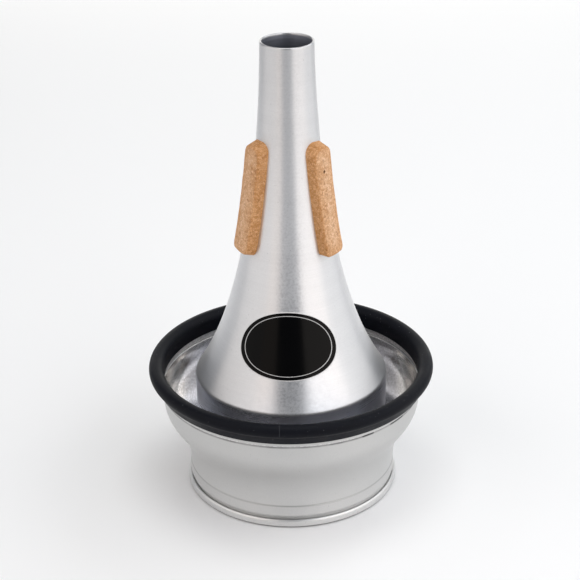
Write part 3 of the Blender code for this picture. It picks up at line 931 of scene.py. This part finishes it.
print("label rings:", len(ring_share))

# %% [markdown]
# ## The studio
#
# The mute stands on a plain white surface among soft panels. Metal shows what is around it, so the panels are placed
# for their reflections. A low and a high row go round the mute: the low one shows in the cup and in the lower flare,
# the high one in the tip and in the inside of the cup. The right side is brighter than the left one, and the gap on
# the side of the camera makes the dark stripe down the middle. A panel above lights the floor.

# %% Floor
floor_mesh = bpy.data.meshes.new("floor")
floor_mesh.from_pydata([(-4, -4, 0), (4, -4, 0), (4, 4, 0), (-4, 4, 0)], [], [(0, 1, 2, 3)])
floor = bpy.data.objects.new("floor", floor_mesh)
bpy.context.scene.collection.objects.link(floor)
floor_paint, floor_tree, floor_shader = new_material("floor_white", Roughness=0.9)
floor_shader.inputs["Base Color"].default_value = (0.94, 0.94, 0.94, 1)
floor_shader.inputs["Specular IOR Level"].default_value = 0.2
floor_mesh.materials.append(floor_paint)

# %% Lights
def soft_panel(name, place, aim, width, height, radiance):
    """A rectangular lamp that faces a point, with a radiance for red, green and blue. It sends out pi times its
    radiance from each square metre."""
    way = Vector(place) - Vector(aim)
    brightest = max(radiance)
    lamp = bpy.data.lights.new(name, "AREA")
    lamp.shape, lamp.size, lamp.size_y = "RECTANGLE", width, height
    lamp.energy = brightest * math.pi * width * height
    lamp.color = [part / brightest for part in radiance]
    holder = bpy.data.objects.new(name, lamp)
    holder.location = place
    holder.rotation_euler = way.to_track_quat("Z", "Y").to_euler()
    holder.visible_camera = False
    bpy.context.scene.collection.objects.link(holder)


def beside(azimuth, height):
    """A point at an angle round the mute, counted from the side of the camera, and the point of the axis beside it."""
    a = math.radians(azimuth)
    return (PANEL_DISTANCE * math.sin(a), -PANEL_DISTANCE * math.cos(a), height), (0, 0, height)


PANEL_DISTANCE, LOW, HIGH = 0.95, 0.30, 0.95
soft_panel("near_left_low", *beside(-31, LOW), 0.40, 0.60, (0.79, 0.67, 0.57))
soft_panel("near_left_high", *beside(-31, HIGH), 0.40, 0.70, (1.50, 1.44, 1.44))
soft_panel("left_low", *beside(-73, LOW), 1.10, 0.60, (0.65, 0.61, 0.57))
soft_panel("left_high", *beside(-73, HIGH), 1.10, 0.70, (1.27, 1.22, 1.19))
soft_panel("right_low", *beside(48, LOW), 0.90, 0.60, (1.30, 1.19, 1.10))
soft_panel("right_high", *beside(48, HIGH), 0.90, 0.70, (1.71, 1.80, 1.93))
soft_panel("far_right_low", *beside(98, LOW), 0.88, 0.60, (0.82, 0.81, 0.79))
soft_panel("far_right_high", *beside(98, HIGH), 0.88, 0.70, (2.04, 2.02, 2.02))
soft_panel("behind_left_low", *beside(-128, 0.22), 0.80, 0.40, (0.20, 0.20, 0.20))
soft_panel("behind_right_low", *beside(139, 0.22), 0.60, 0.40, (0.21, 0.22, 0.22))
soft_panel("behind_right_high", *beside(139, HIGH), 0.60, 0.70, (1.49, 1.58, 1.68))
soft_panel("behind_low", *beside(180, LOW), 1.20, 0.60, (1.23, 1.20, 1.14))
soft_panel("above", (0, 0, 1.35), (0, 0, 0), 0.80, 0.80, (2.71, 2.71, 2.64))
world = bpy.data.worlds.new("studio")
world.use_nodes = True
world.node_tree.nodes["Background"].inputs["Color"].default_value = (0.88, 0.92, 1.0, 1)
world.node_tree.nodes["Background"].inputs["Strength"].default_value = 0.24
bpy.context.scene.world = world

# %% [markdown]
# ## The camera
#
# The camera's place was worked out from the outlines in the photograph: 0.59 m from the axis, 0.37 m up, looking down
# by 25.7 degrees, with a lens of 100 mm on a 36 mm sensor.

# %% Camera
CAMERA_AZIMUTH, CAMERA_DISTANCE, CAMERA_HEIGHT = 2.3, 0.5893, 0.3695
CAMERA_PITCH, CAMERA_ROLL, CAMERA_LENS = 25.73, -0.732, 100.3
lens = bpy.data.cameras.new("camera")
lens.lens, lens.sensor_width = CAMERA_LENS, 36
camera = bpy.data.objects.new("camera", lens)
side = Matrix.Rotation(math.radians(CAMERA_AZIMUTH), 4, "Z")
tilt = Matrix.Rotation(math.radians(90 - CAMERA_PITCH), 4, "X")
roll_matrix = Matrix.Rotation(math.radians(CAMERA_ROLL), 4, "Z")
camera.matrix_world = side @ Matrix.Translation((0, -CAMERA_DISTANCE, CAMERA_HEIGHT)) @ tilt @ roll_matrix
bpy.context.scene.collection.objects.link(camera)
bpy.context.scene.camera = camera
bpy.context.scene.view_settings.view_transform = "Standard"
